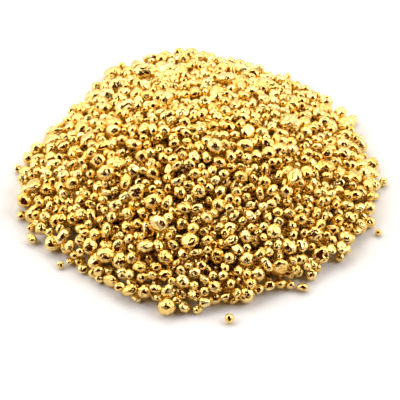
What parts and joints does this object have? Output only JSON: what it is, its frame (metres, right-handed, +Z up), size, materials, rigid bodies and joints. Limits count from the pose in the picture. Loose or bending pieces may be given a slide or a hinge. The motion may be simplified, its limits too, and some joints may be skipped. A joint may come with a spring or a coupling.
{
  "type": "heap of gold grain",
  "caption": "Poured heap of loose, shiny gold casting grain: a low round mound of small rounded grains that rests on a flat surface, with loose grains on top and around its foot.",
  "frame": {"origin": "middle of the heap's footprint on the surface it rests on", "axes": "+X to the right, +Z up from the resting surface, the front of the heap towards -Y"},
  "size_m": [0.1045, 0.1064, 0.0236],
  "materials": {
    "gold": "polished gold, bright as cast"
  },
  "bodies": {
    "heap": {"rim_right": "gold", "rim_back_right": "gold", "rim_back": "gold", "rim_back_left": "gold", "rim_left": "gold", "rim_front_left": "gold", "rim_front": "gold", "rim_front_right": "gold", "lower_slope_right": "gold", "lower_slope_back_right": "gold", "lower_slope_back": "gold", "lower_slope_back_left": "gold", "lower_slope_left": "gold", "lower_slope_front_left": "gold", "lower_slope_front": "gold", "lower_slope_front_right": "gold", "upper_slope_right": "gold", "upper_slope_back": "gold", "upper_slope_left": "gold", "upper_slope_front": "gold", "crown": "gold", "under_layer_right": "gold", "under_layer_back_right": "gold", "under_layer_back": "gold", "under_layer_back_left": "gold", "under_layer_left": "gold", "under_layer_front_left": "gold", "under_layer_front": "gold", "under_layer_front_right": "gold", "core": "gold"},
    "loose_grain_01": {"loose_grain_01": "gold"},
    "loose_grain_02": {"loose_grain_02": "gold"},
    "loose_grain_03": {"loose_grain_03": "gold"},
    "loose_grain_04": {"loose_grain_04": "gold"},
    "loose_grain_05": {"loose_grain_05": "gold"},
    "loose_grain_06": {"loose_grain_06": "gold"},
    "loose_grain_07": {"loose_grain_07": "gold"},
    "loose_grain_08": {"loose_grain_08": "gold"},
    "stray_grain_01": {"stray_grain_01": "gold"},
    "stray_grain_02": {"stray_grain_02": "gold"},
    "stray_grain_03": {"stray_grain_03": "gold"},
    "stray_grain_04": {"stray_grain_04": "gold"},
    "stray_grain_05": {"stray_grain_05": "gold"},
    "stray_grain_06": {"stray_grain_06": "gold"},
    "stray_grain_07": {"stray_grain_07": "gold"},
    "stray_grain_08": {"stray_grain_08": "gold"},
    "stray_grain_09": {"stray_grain_09": "gold"},
    "stray_grain_10": {"stray_grain_10": "gold"},
    "stray_grain_11": {"stray_grain_11": "gold"},
    "stray_grain_12": {"stray_grain_12": "gold"}
  },
  "joints": [
    {"name": "lift_loose_grain_01", "type": "slide", "parent": "heap", "child": "loose_grain_01", "axis": [0, 0, 1], "range_m": [0, 0.03]},
    {"name": "lift_loose_grain_02", "type": "slide", "parent": "heap", "child": "loose_grain_02", "axis": [0, 0, 1], "range_m": [0, 0.03]},
    {"name": "lift_loose_grain_03", "type": "slide", "parent": "heap", "child": "loose_grain_03", "axis": [0, 0, 1], "range_m": [0, 0.03]},
    {"name": "lift_loose_grain_04", "type": "slide", "parent": "heap", "child": "loose_grain_04", "axis": [0, 0, 1], "range_m": [0, 0.03]},
    {"name": "lift_loose_grain_05", "type": "slide", "parent": "heap", "child": "loose_grain_05", "axis": [0, 0, 1], "range_m": [0, 0.03]},
    {"name": "lift_loose_grain_06", "type": "slide", "parent": "heap", "child": "loose_grain_06", "axis": [0, 0, 1], "range_m": [0, 0.03]},
    {"name": "lift_loose_grain_07", "type": "slide", "parent": "heap", "child": "loose_grain_07", "axis": [0, 0, 1], "range_m": [0, 0.03]},
    {"name": "lift_loose_grain_08", "type": "slide", "parent": "heap", "child": "loose_grain_08", "axis": [0, 0, 1], "range_m": [0, 0.03]},
    {"name": "lift_stray_grain_01", "type": "slide", "parent": "heap", "child": "stray_grain_01", "axis": [0, 0, 1], "range_m": [0, 0.03]},
    {"name": "lift_stray_grain_02", "type": "slide", "parent": "heap", "child": "stray_grain_02", "axis": [0, 0, 1], "range_m": [0, 0.03]},
    {"name": "lift_stray_grain_03", "type": "slide", "parent": "heap", "child": "stray_grain_03", "axis": [0, 0, 1], "range_m": [0, 0.03]},
    {"name": "lift_stray_grain_04", "type": "slide", "parent": "heap", "child": "stray_grain_04", "axis": [0, 0, 1], "range_m": [0, 0.03]},
    {"name": "lift_stray_grain_05", "type": "slide", "parent": "heap", "child": "stray_grain_05", "axis": [0, 0, 1], "range_m": [0, 0.03]},
    {"name": "lift_stray_grain_06", "type": "slide", "parent": "heap", "child": "stray_grain_06", "axis": [0, 0, 1], "range_m": [0, 0.03]},
    {"name": "lift_stray_grain_07", "type": "slide", "parent": "heap", "child": "stray_grain_07", "axis": [0, 0, 1], "range_m": [0, 0.03]},
    {"name": "lift_stray_grain_08", "type": "slide", "parent": "heap", "child": "stray_grain_08", "axis": [0, 0, 1], "range_m": [0, 0.03]},
    {"name": "lift_stray_grain_09", "type": "slide", "parent": "heap", "child": "stray_grain_09", "axis": [0, 0, 1], "range_m": [0, 0.03]},
    {"name": "lift_stray_grain_10", "type": "slide", "parent": "heap", "child": "stray_grain_10", "axis": [0, 0, 1], "range_m": [0, 0.03]},
    {"name": "lift_stray_grain_11", "type": "slide", "parent": "heap", "child": "stray_grain_11", "axis": [0, 0, 1], "range_m": [0, 0.03]},
    {"name": "lift_stray_grain_12", "type": "slide", "parent": "heap", "child": "stray_grain_12", "axis": [0, 0, 1], "range_m": [0, 0.03]}
  ]
}
